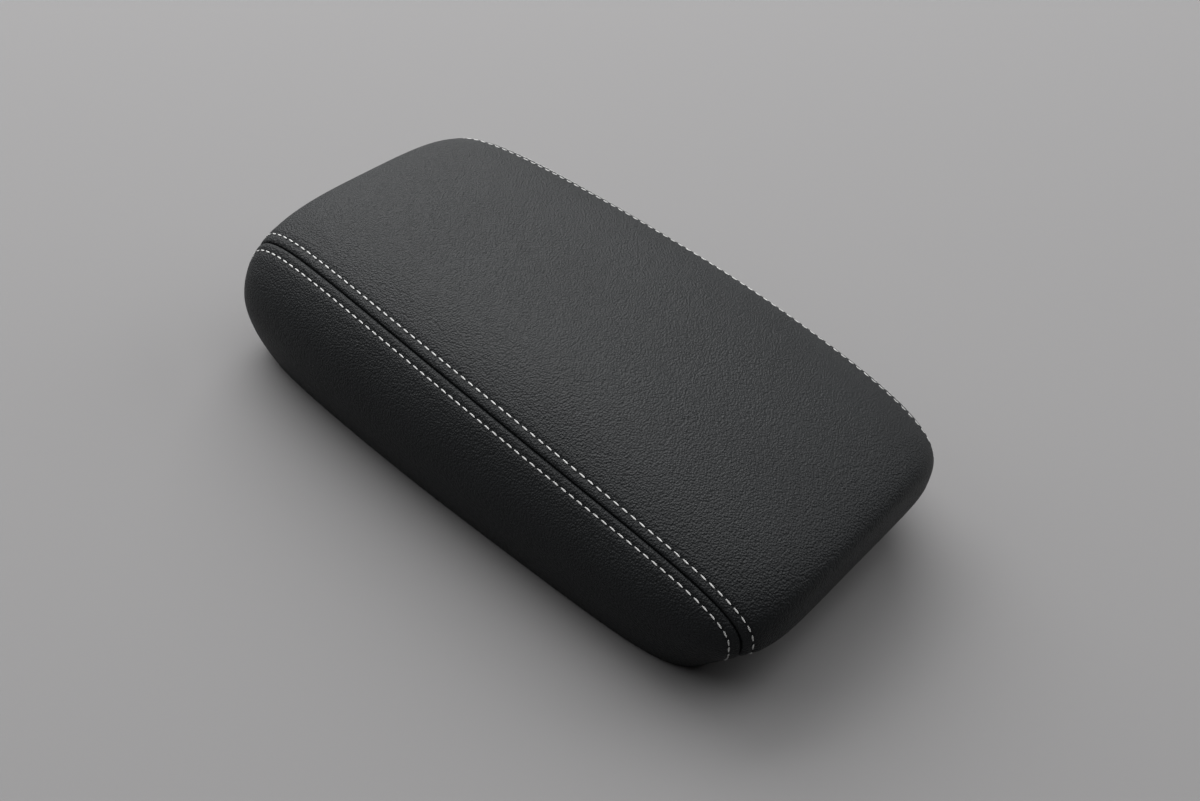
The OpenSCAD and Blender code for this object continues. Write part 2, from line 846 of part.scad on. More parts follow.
// Moulded frame with two cheeks that hold the latch's pin
module latch_housing() {
    cheek_r = latch_pin_r + 2.6;
    back = latch_y + housing_reach;
    front = latch_y - cheek_r;
    color(trim_plastic)
        difference() {
            union() {
                bar(-cheek_out, cheek_out, front, back, housing_bottom, housing_top);
                both_sides() {
                    rod(cheek_in, cheek_out, latch_y, latch_z, cheek_r);
                    cheek(cheek_in, cheek_out, [
                        [front, latch_z], [latch_y + cheek_r * 0.7, latch_z - cheek_r * 0.7],
                        [back - 3, housing_bottom - 1.5], [back, housing_top],
                        [front, housing_top]
                    ]);
                }
            }
            both_sides()
                rod(cheek_in - 1, cheek_out + 1, latch_y, latch_z, latch_pin_r + press_gap);
            at_each(HOUSING_SCREWS)
                translate([0, 0, housing_bottom - 1])
                    cylinder(r = screw_r + screw_clearance, h = housing_t + 2);
        }
}

// Finger paddle with a hub on the latch's pin and a hook that points to the rear
module latch_lever() {
    tip = latch_y - paddle_reach;
    under = latch_z - hub_r;
    hook_z = latch_z - hub_r - hook_drop;
    color("dimgray")
        difference() {
            union() {
                rod(-cheek_in + 0.3, cheek_in - spring_room, latch_y, latch_z, hub_r);
                cheek(-paddle_w / 2, paddle_w / 2, [
                    [latch_y - 1, under], [tip + 4, under - 1.4], [tip + 1.4, under - 2.6],
                    [tip, under - 2], [tip, under + paddle_t - 2.2],
                    [tip + 4.4, under + paddle_t - 1.2], [latch_y - hub_r, under + paddle_t],
                    [latch_y, latch_z]
                ]);
                cheek(-hook_w / 2, hook_w / 2, [
                    [latch_y - 2.6, latch_z], [latch_y - 2.4, hook_z + 1],
                    [latch_y - 1.4, hook_z], [latch_y + 1.4, hook_z],
                    [latch_y + 5.6, hook_z + 3], [latch_y + 5.4, hook_z + 4],
                    [latch_y + 1.8, hook_z + 3.8], [latch_y + 2.6, latch_z]
                ]);
            }
            rod(-cheek_in, cheek_in, latch_y, latch_z, latch_pin_r + pin_clearance);
            rod(cheek_in - spring_room, cheek_in, latch_y, latch_z, hub_r + 0.6);
        }
}

module latch_pin() {
    head_t = 1;
    color("gainsboro") {
        rod(-cheek_out - seat_gap, cheek_out, latch_y, latch_z, latch_pin_r);
        rod(-cheek_out - seat_gap - head_t, -cheek_out - seat_gap, latch_y, latch_z,
            latch_pin_r + 1);
    }
}

// Torsion spring beside the hub: one leg under the housing, the other on the paddle
module latch_spring() {
    leg = 10;
    pitch = 2 * latch_wire_r + 0.08;
    x_start = cheek_in - spring_room + latch_wire_r + 0.2;
    turns = round(latch_turns);
    x_end = x_start + pitch * turns;
    paddle_top = latch_z - hub_r + paddle_t - 0.7;
    color("darkgray")
        wire(
            concat(
                [[x_start, latch_y - leg, paddle_top + latch_wire_r + seat_gap]],
                coil(x_start, pitch, latch_y, latch_z, latch_coil_r, turns),
                [[x_end, latch_y + leg, housing_bottom - latch_wire_r - seat_gap]]
            ),
            latch_wire_r
        );
}

cover_top_panel();
cover_side_left();
cover_side_right();
foam_pad();
carrier();
inner_panel();
inner_panel_screws();
rubber_buffers();
latch_housing();
latch_housing_screws();
latch_lever();
latch_pin();
latch_spring();
hinge_leaf();
hinge_leaf_screws();
hinge_bush_left();
hinge_bush_right();
hinge_bracket();
hinge_pin();
hinge_pin_clip();
hinge_spring_left();
hinge_spring_right();
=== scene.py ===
"""A car's centre armrest: leather over foam, with a twin stitched seam along each long side."""

import math

import bpy
import numpy as np
from mathutils import Matrix, Vector


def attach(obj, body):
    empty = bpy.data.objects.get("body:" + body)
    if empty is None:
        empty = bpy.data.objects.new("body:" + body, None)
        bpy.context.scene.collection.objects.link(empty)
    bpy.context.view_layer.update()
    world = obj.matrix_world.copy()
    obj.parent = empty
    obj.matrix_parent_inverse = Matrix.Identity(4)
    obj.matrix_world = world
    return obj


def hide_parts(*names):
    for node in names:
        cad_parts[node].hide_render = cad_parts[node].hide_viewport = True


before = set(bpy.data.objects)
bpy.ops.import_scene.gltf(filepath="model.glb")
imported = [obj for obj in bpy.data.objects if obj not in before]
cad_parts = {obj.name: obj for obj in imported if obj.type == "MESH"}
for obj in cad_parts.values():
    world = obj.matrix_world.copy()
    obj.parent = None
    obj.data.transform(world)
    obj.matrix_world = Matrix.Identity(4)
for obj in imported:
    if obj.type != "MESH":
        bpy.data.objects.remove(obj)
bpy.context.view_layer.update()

MM = 0.001

# Sizes of the pad in millimetres, as the CAD model has them
PAD_LENGTH = 272.0
PAD_WIDTH = 164.0
HALF_LENGTH = PAD_LENGTH / 2
FRONT_NARROWING = 3.5
REAR_NARROWING = 13.3
HEM_Z = 1.0
WAIST_Z = 30.0
PAD_HEIGHT = 72.0
FRONT_DROP = 19.5
REAR_DROP = 4.0
TUCK = 8.3
FRONT_UNDERCUT = 11.0
HEM_WIDTH = 10.0
FRONT_SQUARENESS = 7.0
REAR_SQUARENESS = 11.4
NOSE_SQUARENESS = 10.4
TAIL_SQUARENESS = 6.5
CROWN_FLATNESS = 3.5
SHOULDER_SQUARENESS = 2.3
SEAM_INSET = 12.2
SEAM_SKEW = 6.4
SEAM_FRONT_PULL = 6.05
SEAM_REAR_PULL = 2.35
SEAM_SWEEP = 14.0

# The seam's last bend at the front end
SEAM_HOOK = 4.0
SEAM_HOOK_POWER = 30

# How the tuck and the undercut grow towards the hem, and the hem's rounded edge
TUCK_POWER = 1.7
UNDERCUT_POWER = 6
HEM_ROUND = 1.2
EDGE_SHARE = 0.96
EDGE_Z = WAIST_Z - EDGE_SHARE * (WAIST_Z - HEM_Z)
LEATHER_THICKNESS = 1.0

# Stitching
STITCH_PITCH = 4.0
STITCH_ROW = 4.3
STITCH_LENGTH = 2.75
STITCH_START = 10.5
STITCH_SLANT = 0.08
THREAD_WIDTH = 0.64
THREAD_HEIGHT = 0.55
THREAD_LIFT = 0.12
THREAD_BEND = 0.45
THREAD_SEGMENTS = 8

# The seam's cross-section: the fold, the roll beside it, the dip under the stitches and the swell
FOLD_DEPTH = 1.8
FOLD_REACH = 0.27
FOLD_POWER = 0.9
ROLL_RISE = 0.2
ROLL_PLACE = 2.1
ROLL_SPREAD = 1.25
DIP_DEPTH = 0.24
DIP_RIPPLE = 0.08
DIP_SPREAD = 0.75
SWELL_RISE = 0.16
SWELL_PLACE = 7.2
SWELL_SPREAD = 1.9
SWELL_FADE = 4.0

# The skin's grids: strips beside the seam, and the patches beyond them
STRIP_WIDTH = 15.0
ROW_STEP = 0.95
SEAM_COLUMNS = np.array([
    0, 0.08, 0.16, 0.26, 0.42, 0.64, 0.95, 1.4, 1.9, 2.5, 3.1, 3.55, 3.95, STITCH_ROW, 4.65, 5,
    5.5, 6.2, 7.2, 8.6, 10.4, 12.6, STRIP_WIDTH])
STRIP_SAMPLES = np.concatenate([np.linspace(0, 4, 60), np.linspace(4.1, 26, 120)])
MIDDLE_COLUMNS = 18
STATION_POWER = 2.3
HEM_LEVELS = 40
TURN_LEVELS = 24
SIDE_LEVELS = 240
OUTLINE_POINTS = 2400
WALK_STEP = 0.25
WALK_PROBE = 0.3
FINE_STATIONS = 900
TURN_ROWS = 8
TURN_WIDTH = 6
FAR = 60.0
FOOT_Z = 4.0
SHOULDER_STATION = -0.75

# The flat core in the middle of the pad, from which points are moved out onto the skin
CORE_X = 44
CORE_Y = 100
CORE_Z = 26.0
CORE_REACH = 4.0

# Least sizes that are divided by, and how near to each other points are made one
LEAST_WIDTH = 1e-6
LEAST_LENGTH = 1e-12
WELD_GRID = 0.01
WELD_SHIFT = 0.37
WELD_REACH = 0.012

# Rounds of each search on the skin, and where the search for an end begins
SEAM_END_ROUNDS = 40
END_LINE_START = 0.98
END_LINE_ROUNDS = 12
SEAM_ROUNDS = 8
UNDERCUT_ROUNDS = 6
SKIN_ROUNDS = 44

# Leather, its grain and its thread
LEATHER_DARK = (0.0085, 0.0095, 0.0104)
LEATHER_LIGHT = (0.0105, 0.0118, 0.0128)
LEATHER_CLOUD_SCALE = 26.0
LEATHER_ROUGHNESS = (0.46, 0.6)
LEATHER_SPECULAR = 0.162
GRAIN_SCALE = 1250.0
GRAIN_SOFTNESS = 0.35
GRAIN_DEPTH = -0.0004
GRAIN_WARP = 0.0006
GRAIN_WARP_SCALE = 600.0
# Painted shade: how dark, and how strongly, the colour is made in the grain's sunken creases
CREASE_SHADE_COLOUR = (0.62, 0.62, 0.62)
CREASE_SHADE_STRENGTH = 0.45
PORE_SCALE = 3200.0
PORE_DEPTH = 0.00008
THREAD_DARK = (0.31, 0.31, 0.31)
THREAD_LIGHT = (0.6, 0.6, 0.59)
THREAD_ROUGHNESS = 0.7
STRAND_TURN = 35
STRAND_SCALE = 900.0
STRAND_BEND = 1.5
STRAND_DEPTH = 0.0001

# Foam
FOAM_COLOURS = ((0.78, 0.7, 0.46), (0.6, 0.52, 0.32))
FOAM_ROUGHNESS = 0.9
CELL_SCALE = 1400.0
CELL_DEPTH = -0.0002

# Plastics and rubber: colour, roughness and fineness of the grain
PLASTICS = {
    "shell_plastic": ((0.09, 0.09, 0.1), 0.55, 500.0),
    "trim_plastic": ((0.04, 0.04, 0.043), 0.58, 1300.0),
    "lever_plastic": ((0.026, 0.026, 0.028), 0.42, 1800.0),
    "buffer_rubber": ((0.018, 0.018, 0.018), 0.75, 2500.0),
    "nylon": ((0.82, 0.8, 0.74), 0.4, 700.0)}
PLASTIC_SHADE = 0.8
PLASTIC_SPREAD = 0.08
PLASTIC_DEPTH = 0.00008

# Steels: colour, roughness and how the fine marks are stretched
STEELS = {
    "pressed_steel": ((0.56, 0.56, 0.55), 0.36, (1.0, 1.0, 1.0)),
    "screw_steel": ((0.66, 0.66, 0.63), 0.3, (1.0, 1.0, 1.0)),
    "pin_steel": ((0.62, 0.62, 0.63), 0.22, (0.1, 1.0, 1.0)),
    "spring_wire": ((0.4, 0.4, 0.41), 0.3, (1.0, 1.0, 1.0))}
STEEL_SHADE = 0.78
STEEL_SMOOTHER = 0.1
STEEL_ROUGHER = 0.12
STEEL_CLOUD_SCALE = 60.0
MARK_SCALE = 900.0
MARK_DEPTH = 0.00002

# What each inner piece is made of
FINISHES = {
    "foam_pad": "moulded_foam",
    "carrier": "shell_plastic",
    "inner_panel": "trim_plastic",
    "latch_housing": "trim_plastic",
    "latch_lever": "lever_plastic",
    "rubber_buffers": "buffer_rubber",
    "inner_panel_screws": "screw_steel",
    "latch_housing_screws": "screw_steel",
    "hinge_leaf_screws": "screw_steel",
    "latch_pin": "pin_steel",
    "hinge_pin": "pin_steel",
    "latch_spring": "spring_wire",
    "hinge_spring_left": "spring_wire",
    "hinge_spring_right": "spring_wire",
    "hinge_pin_clip": "spring_wire",
    "hinge_leaf": "pressed_steel",
    "hinge_bracket": "pressed_steel",
    "hinge_bush_left": "nylon",
    "hinge_bush_right": "nylon"}

# Camera, floor and light: each lamp's name, place, size and power
CAMERA_PLACE = (-0.38388, -0.24299, 0.44007)
CAMERA_TURN = (46.5925, -8.7413, -50.4641)
CAMERA_LENS = 44.189
CAMERA_NEAR = 0.01
FLOOR_SIZE = 9.0
FLOOR_COLOUR = (0.182, 0.18, 0.181, 1)
FLOOR_ROUGHNESS = 0.9
FLOOR_SPECULAR = 0.1
SKY_COLOUR = (0.97, 0.97, 0.98, 1)
SKY_STRENGTH = 0.04
LAMPS = [
    ("window_lamp", (0.8, 1.45, 1.35), (2.6, 1.8), 85.0),
    ("over_lamp", (0.15, 0.25, 1.95), (2.2, 2.2), 39.0),
    ("left_lamp", (-1.1, 1.5, 1.3), (1.4, 1.4), 17.0),
    ("right_lamp", (1.35, -0.55, 1.0), (1.1, 1.1), 11.0)]


# The pad's skin

def half_width(t):
    """Half the pad's width at t, which runs from -1 at the front to 1 at the rear."""
    return (PAD_WIDTH - np.where(t < 0, FRONT_NARROWING, REAR_NARROWING) * t * t) / 2


def top_line(t):
    """Height of the crown in the middle of the width."""
    return HEM_Z + PAD_HEIGHT - np.where(t < 0, FRONT_DROP, REAR_DROP) * t * t


def plan_power(t):
    """Squareness of the corners seen from above."""
    return np.where(t < 0, FRONT_SQUARENESS, REAR_SQUARENESS)


def side_power(t):
    """Squareness of the ends seen from the side."""
    return np.where(t < 0, NOSE_SQUARENESS, TAIL_SQUARENESS)


def round_off(t, n):
    """A superellipse: 1 in the middle and 0 at t = -1 and 1, squarer for a larger n."""
    return np.maximum(0.0, 1 - np.abs(t) ** n) ** (1 / n)


def crown_height(x, y):
    """Height of the skin above the widest line."""
    t = np.clip(y / HALF_LENGTH, -1, 1)
    w = np.maximum(half_width(t) * round_off(t, plan_power(t)), LEAST_WIDTH)
    rise = (top_line(t) - WAIST_Z) * round_off(t, side_power(t))
    r = np.minimum(1, np.abs(x) / w)
    return WAIST_Z + rise * (1 - r ** CROWN_FLATNESS) ** (1 / SHOULDER_SQUARENESS)


def tuck_at(share):
    """How far the side tucks in below the widest line."""
    return TUCK * np.maximum(share, 0) ** TUCK_POWER


def hem_edge(turn):
    """Inset on the hem's rounded edge, where turn runs from 0 at the flat hem to 1 at the side."""
    return TUCK + HEM_ROUND - (TUCK + HEM_ROUND - tuck_at(EDGE_SHARE)) * turn


def share_at(z):
    """How far down a height lies, from 0 at the widest line to 1 at the hem."""
    return np.maximum(0.0, (WAIST_Z - z) / (WAIST_Z - HEM_Z))


def undercut_at(z):
    """How far the undercut moves the middle of the front end to the rear at a height."""
    return FRONT_UNDERCUT * (1 - (1 - share_at(z)) ** 2)


def front_shift(t, z):
    """How far the undercut moves a point of the outline to the rear."""
    return undercut_at(z) * np.minimum(t, 0.0) ** UNDERCUT_POWER


def seam_x(y):
    """Distance of the seam from the middle line, above the widest line."""
    t = y / HALF_LENGTH
    pull = np.where(t < 0, SEAM_FRONT_PULL, -SEAM_REAR_PULL)
    hook = SEAM_HOOK * np.minimum(t, 0.0) ** SEAM_HOOK_POWER
    return half_width(t) - SEAM_INSET - SEAM_SKEW * t - pull * t * t - hook


def seam_end(end):
    """Where along the pad the seam meets the widest line, as a share of the half length."""
    low, high = 0.5, 1.0
    for _ in range(SEAM_END_ROUNDS):
        mid = (low + high) / 2
        w = half_width(np.float64(end * mid)) * round_off(mid, plan_power(end))
        if w > seam_x(np.float64(end * mid * HALF_LENGTH)):
            low = mid
        else:
            high = mid
    return low


SEAM_ENDS = {-1: seam_end(-1), 1: seam_end(1)}


def end_line(x, inset, end):
    """How far along the pad the outline's end lies over x, in millimetres and as a share of the half
    length, for an outline moved in by inset."""
    t = np.full(np.shape(x), float(end) * END_LINE_START)
    for _ in range(END_LINE_ROUNDS):
        t = end * round_off(np.abs(x) / (half_width(t) - inset), plan_power(np.float64(end)))
    return (HALF_LENGTH - inset) * t, t


def level_table():
    """Inset and height of the levels below the widest line, from the hem's inner edge up."""
    under = [(TUCK + HEM_WIDTH - k * (HEM_WIDTH - HEM_ROUND) / HEM_LEVELS, HEM_Z)
             for k in range(HEM_LEVELS)]
    turn = []
    for k in range(TURN_LEVELS):
        angle = math.pi / 2 * k / TURN_LEVELS
        z = HEM_Z + (EDGE_Z - HEM_Z) * (1 - math.cos(angle))
        turn.append((hem_edge(math.sin(angle)), z))
    side = [(tuck_at(s), WAIST_Z - s * (WAIST_Z - HEM_Z))
            for s in np.linspace(EDGE_SHARE, 0, SIDE_LEVELS)]
    return np.array(under + turn + side)


LEVELS = level_table()


def level_at(station):
    """Inset and height at a station of either end, from the hem's inner edge to the widest line."""
    place = np.clip(3 - abs(station), 0, 2) / 2 * (len(LEVELS) - 1)
    rows = np.arange(len(LEVELS))
    return np.interp(place, rows, LEVELS[:, 0]), np.interp(place, rows, LEVELS[:, 1])


def station_row(station, x):
    """A line across the pad. Stations run from -3 at the front hem's inner edge, over -1 and 1, the
    widest line at the two ends, to 3 at the rear hem's inner edge."""
    end = -1 if station < 0 else 1
    if abs(station) <= 1:
        share = end * (1 - (1 - abs(station)) ** STATION_POWER)
        y = share * np.abs(end_line(x, 0.0, end)[0])
        return np.stack([x, y, crown_height(x, y)], -1)
    inset, z = level_at(station)
    y, t = end_line(x, inset, end)
    return np.stack([x, y + front_shift(t, z), np.full(np.shape(x), float(z))], -1)


def low_seam_x(inset, z, end):
    """The seam's x on an end below the widest line."""
    t = np.float64(end * SEAM_ENDS[end])
    sweep = SEAM_SWEEP * share_at(z) if end < 0 else 0.0
    return float((half_width(t) - inset) * round_off(t, plan_power(t)) - sweep)


def seam_at(station):
    """The seam's x at a station."""
    end = -1 if station < 0 else 1
    t_end = end * SEAM_ENDS[end]
    if abs(station) > 1:
        return low_seam_x(*level_at(station), end)
    share = 1 - (1 - abs(station)) ** STATION_POWER
    x = float(seam_x(np.float64(share * t_end * HALF_LENGTH)))
    for _ in range(SEAM_ROUNDS):
        x = float(seam_x(np.float64(share * end_line(np.float64(x), 0.0, end)[0])))
    return x


def seam_points(stations):
    """Points of the seam, one a station."""
    return np.array([station_row(s, np.float64(seam_at(s))) for s in stations])


def length_along(points):
    """Length of a line of points up to each of them."""
    steps = np.linalg.norm(np.diff(points, axis=0), axis=1)
    return np.concatenate([[0], np.cumsum(steps)])


def even_steps(low, high):
    """Stations from low to high, about a row's step apart along the seam."""
    fine = np.linspace(low, high, FINE_STATIONS)
    run = length_along(seam_points(fine))
    count = max(2, round(run[-1] / ROW_STEP))
    return np.interp(np.linspace(0, run[-1], count + 1), run, fine)


def all_stations():
    """Every station, the same at both ends below the widest line, and the seam's length up to it."""
    below = even_steps(-3, -1)
    stations = np.concatenate([below[:-1], even_steps(-1, 1), -below[::-1][1:]])
    return stations, length_along(seam_points(stations))


STATIONS, SEAM_RUN = all_stations()


def top_strip(station):
    """Points of the top panel on the seam's inner side, at the distances of SEAM_COLUMNS."""
    x = seam_at(station) - STRIP_SAMPLES
    row = station_row(station, x)
    at = np.interp(SEAM_COLUMNS, length_along(row), x)
    return station_row(station, at)


def inside(p):
    """Whether points lie under the skin."""
    x, y, z = np.abs(p[..., 0]), p[..., 1], p[..., 2]
    low_z = np.clip(z, HEM_Z, WAIST_Z)
    turn = np.clip(1 - (low_z - HEM_Z) / (EDGE_Z - HEM_Z), 0, 1)
    inset = np.where(low_z < EDGE_Z, hem_edge(np.sqrt(1 - turn ** 2)), tuck_at(share_at(low_z)))
    reach = HALF_LENGTH - inset
    shift = undercut_at(z)
    slope = UNDERCUT_POWER * shift
    t = y / reach
    for _ in range(UNDERCUT_ROUNDS):
        front = np.minimum(t, 0.0)
        miss = reach * t + shift * front ** UNDERCUT_POWER - y
        t = t - miss / (reach + slope * front ** (UNDERCUT_POWER - 1))
    within = (np.abs(t) < 1) & (x < (half_width(t) - inset) * round_off(
        np.clip(t, -1, 1), plan_power(t)))
    return within & (z > HEM_Z) & ((z < WAIST_Z) | (z < crown_height(x, y)))


def onto_skin(p):
    """Points moved onto the skin, straight away from the flat core in the middle of the pad."""
    anchor = np.stack([
        np.clip(p[..., 0], -CORE_X, CORE_X), np.clip(p[..., 1], -CORE_Y, CORE_Y),
        np.full(p.shape[:-1], CORE_Z)], -1)
    ray = p - anchor
    low = np.zeros(p.shape[:-1])
    high = np.full(p.shape[:-1], CORE_REACH)
    for _ in range(SKIN_ROUNDS):
        mid = (low + high) / 2
        under = inside(anchor + ray * mid[..., None])
        low = np.where(under, mid, low)
        high = np.where(under, high, mid)
    return anchor + ray * low[..., None]


def side_outline(inset, z):
    """The right side's outline between the two seams, moved in by inset."""
    front = end_line(np.float64(low_seam_x(inset, z, -1)), inset, -1)[1]
    t = np.linspace(front, SEAM_ENDS[1], OUTLINE_POINTS)
    x = (half_width(t) - inset) * round_off(t, plan_power(t))
    return np.stack([x, (HALF_LENGTH - inset) * t + front_shift(t, z)], -1)


def along_outline(inset, z, lengths, end=-1):
    """Points of the outline at these lengths from the seam at one end."""
    line = side_outline(inset, z)
    run = length_along(line)
    at = lengths if end < 0 else run[-1] - lengths
    return np.stack([
        np.interp(at, run, line[:, 0]), np.interp(at, run, line[:, 1]),
        np.full(len(at), float(z))], -1)


def outline_length(inset, z):
    """Length of the right side's outline between the two seams."""
    return float(length_along(side_outline(inset, z))[-1])


def side_strips():
    """Points of the right side panel beside the seam, one row a station."""
    rows = np.zeros((len(STATIONS), len(SEAM_COLUMNS), 3))
    over = np.abs(STATIONS) < 1
    for i in np.flatnonzero(~over):
        inset, z = level_at(STATIONS[i])
        rows[i] = along_outline(inset, z, SEAM_COLUMNS, np.sign(STATIONS[i]))
    numbers = np.flatnonzero(over)
    seam = seam_points(STATIONS[numbers])
    inner = np.array([
        station_row(STATIONS[i], np.float64(seam_at(STATIONS[i]) - WALK_PROBE)) for i in numbers])
    ahead = seam - inner
    ahead /= np.linalg.norm(ahead, axis=1)[:, None]
    walk = [seam]
    for _ in range(int(STRIP_WIDTH / WALK_STEP) + 2):
        p = onto_skin(walk[-1] + ahead * WALK_STEP)
        ahead = p - walk[-1]
        ahead /= np.linalg.norm(ahead, axis=1)[:, None]
        walk.append(p)
    walk = np.array(walk)
    for k, i in enumerate(numbers):
        run = length_along(walk[:, k])
        for axis in range(3):
            rows[i, :, axis] = np.interp(SEAM_COLUMNS, run, walk[:, k, axis])
    return evened(rows)


def evened(rows):
    """The strip's rows spaced evenly where they pass the widest line, so that none cross."""
    blend = np.clip(SEAM_COLUMNS / TURN_WIDTH, 0, 1)[None, :, None]
    share = np.linspace(0, 1, 2 * TURN_ROWS + 1)[:, None, None]
    for end in (-1, 1):
        at = int(np.argmin(np.abs(STATIONS - end)))
        span = slice(at - TURN_ROWS, at + TURN_ROWS + 1)
        even = (1 - share) * rows[at - TURN_ROWS] + share * rows[at + TURN_ROWS]
        rows[span] = onto_skin((1 - blend) * rows[span] + blend * even)
    return rows


# The leather panels

def hump(distance, place, spread):
    """A smooth rise from 0 to 1 and back round a place."""
    return np.exp(-((distance - place) / spread) ** 2)


def seam_profile(distance, run):
    """Rise of the leather over the plain skin, at a distance from the seam and a length along it."""
    fold = -FOLD_DEPTH * np.exp(-(distance / FOLD_REACH) ** FOLD_POWER)
    roll = ROLL_RISE * hump(distance, ROLL_PLACE, ROLL_SPREAD)
    pull = DIP_DEPTH + DIP_RIPPLE * np.cos(2 * math.pi * run / STITCH_PITCH)
    dip = -pull * hump(distance, STITCH_ROW, DIP_SPREAD)
    swell = SWELL_RISE * hump(distance, SWELL_PLACE, SWELL_SPREAD)
    fade = np.clip((STRIP_WIDTH - distance) / SWELL_FADE, 0, 1)
    return fold + roll + dip + swell * fade


def grid_faces(rows, columns, start):
    """The four-sided faces of a grid of points, whose numbers begin at start."""
    i, j = np.meshgrid(np.arange(rows - 1), np.arange(columns - 1), indexing="ij")
    a = start + i * columns + j
    return np.stack([a, a + columns, a + columns + 1, a + 1], -1).reshape(-1, 4)


def vertex_normals(points, faces):
    """The direction away from the surface at each point."""
    a, b, c, d = (points[faces[:, k]] for k in range(4))
    flat = np.cross(c - a, d - b)
    normals = np.zeros_like(points)
    for k in range(4):
        np.add.at(normals, faces[:, k], flat)
    return normals / np.maximum(np.linalg.norm(normals, axis=1), LEAST_LENGTH)[:, None]


def panel_arrays(blocks):
    """Joins grids into one set of arrays. A block holds a grid's points, their distances from the
    seam, their lengths along it, and whether its faces are turned over."""
    points, distance, run, faces = [], [], [], []
    start = 0
    for grid, d, s, flip in blocks:
        rows, columns = grid.shape[:2]
        quads = grid_faces(rows, columns, start)
        faces.append(quads[:, ::-1] if flip else quads)
        points.append(grid.reshape(-1, 3))
        distance.append(np.broadcast_to(d, (rows, columns)).reshape(-1))
        run.append(np.broadcast_to(s, (rows, columns)).reshape(-1))
        start += rows * columns
    return (np.concatenate(points), np.concatenate(distance), np.concatenate(run),
            np.concatenate(faces))


def welded(points, faces):
    """The points that stay when those that lie on each other are made one, and the faces on them."""
    keys = np.round(points / WELD_GRID + WELD_SHIFT).astype(np.int64)
    _, first, number = np.unique(keys, axis=0, return_index=True, return_inverse=True)
    return first, number.reshape(-1)[faces]


def skin_piece(name, blocks):
    """A leather panel: its grids, raised by the seam's cross-section and given their thickness."""
    points, distance, run, faces = panel_arrays(blocks)
    first, faces = welded(points, faces)
    points, distance, run = points[first], distance[first], run[first]
    points = points + vertex_normals(points, faces) * seam_profile(distance, run)[:, None]
    mesh = bpy.data.meshes.new(name)
    mesh.from_pydata((points * MM).tolist(), [], faces.tolist())
    mesh.validate()
    piece = bpy.data.objects.new(name, mesh)
    bpy.context.scene.collection.objects.link(piece)
    finish_skin(piece)
    return piece


def alone(piece):
    """Selects one object only."""
    bpy.ops.object.select_all(action="DESELECT")
    piece.select_set(True)
    bpy.context.view_layer.objects.active = piece


def finish_skin(piece):
    """Closes a panel's grids to one surface and gives it the leather's thickness."""
    alone(piece)
    bpy.ops.object.mode_set(mode="EDIT")
    bpy.ops.mesh.select_all(action="SELECT")
    bpy.ops.mesh.remove_doubles(threshold=WELD_REACH * MM)
    bpy.ops.mesh.normals_make_consistent(inside=False)
    bpy.ops.object.mode_set(mode="OBJECT")
    wall = piece.modifiers.new("thickness", "SOLIDIFY")
    wall.thickness = LEATHER_THICKNESS * MM
    wall.offset = -1
    wall.use_even_offset = False
    bpy.ops.object.modifier_apply(modifier=wall.name)
    bpy.ops.object.shade_smooth()


def top_panel(strip):
    """The centre panel: a strip beside each seam and the grid between them."""
    across = np.linspace(1, -1, 2 * MIDDLE_COLUMNS + 1)
    middle = np.array([station_row(s, row[-1, 0] * across) for s, row in zip(STATIONS, strip)])
    run = SEAM_RUN[:, None]
    return skin_piece("cover_top_leather", [
        (strip, SEAM_COLUMNS, run, False),
        (strip * [-1, 1, 1], SEAM_COLUMNS, run, True),
        (middle, FAR, run, False)])


def side_body(strip):
    """The right side panel beyond its strip: a patch down to just above the hem, and the hem's ring."""
    edge = strip[:, -1]
    foot = int(np.argmax(edge[:, 2] > FOOT_Z))
    climb = int(np.argmax(STATIONS > SHOULDER_STATION)) - foot
    last = len(STATIONS) - 1 - foot
    front_edge = edge[foot:foot + climb + 1]
    rear_edge = edge[last - climb:last + 1][::-1]
    top_edge = edge[foot + climb:last - climb + 1]
    share = length_along(top_edge)
    share = share / share[-1]
    ring = []
    for station in STATIONS[:foot + 1]:
        inset, z = level_at(station)
        reach = outline_length(inset, z) - 2 * STRIP_WIDTH
        ring.append(along_outline(inset, z, STRIP_WIDTH + share * reach))
    ring = np.array(ring)
    bottom_edge = ring[-1]
    q = np.linspace(0, 1, climb + 1)[:, None, None]
    p = share[None, :, None]
    up = (1 - q) * bottom_edge[None] + q * top_edge[None]
    across = (1 - p) * front_edge[:, None] + p * rear_edge[:, None]
    corners = ((1 - q) * ((1 - p) * bottom_edge[0] + p * bottom_edge[-1])
               + q * ((1 - p) * top_edge[0] + p * top_edge[-1]))
    body = onto_skin(up + across - corners)
    body[0], body[-1] = bottom_edge, top_edge
    body[:, 0], body[:, -1] = front_edge, rear_edge
    return body, ring


def side_panel(name, strip, body, ring, side):
    """A side panel: right as it is, or left as its mirror."""
    place = np.array([side, 1.0, 1.0])
    inward = side > 0
    return skin_piece(name, [
        (strip * place, SEAM_COLUMNS, SEAM_RUN[:, None], inward),
        (body * place, FAR, 0.0, inward),
        (ring * place, FAR, 0.0, inward)])


# The threads of the four rows

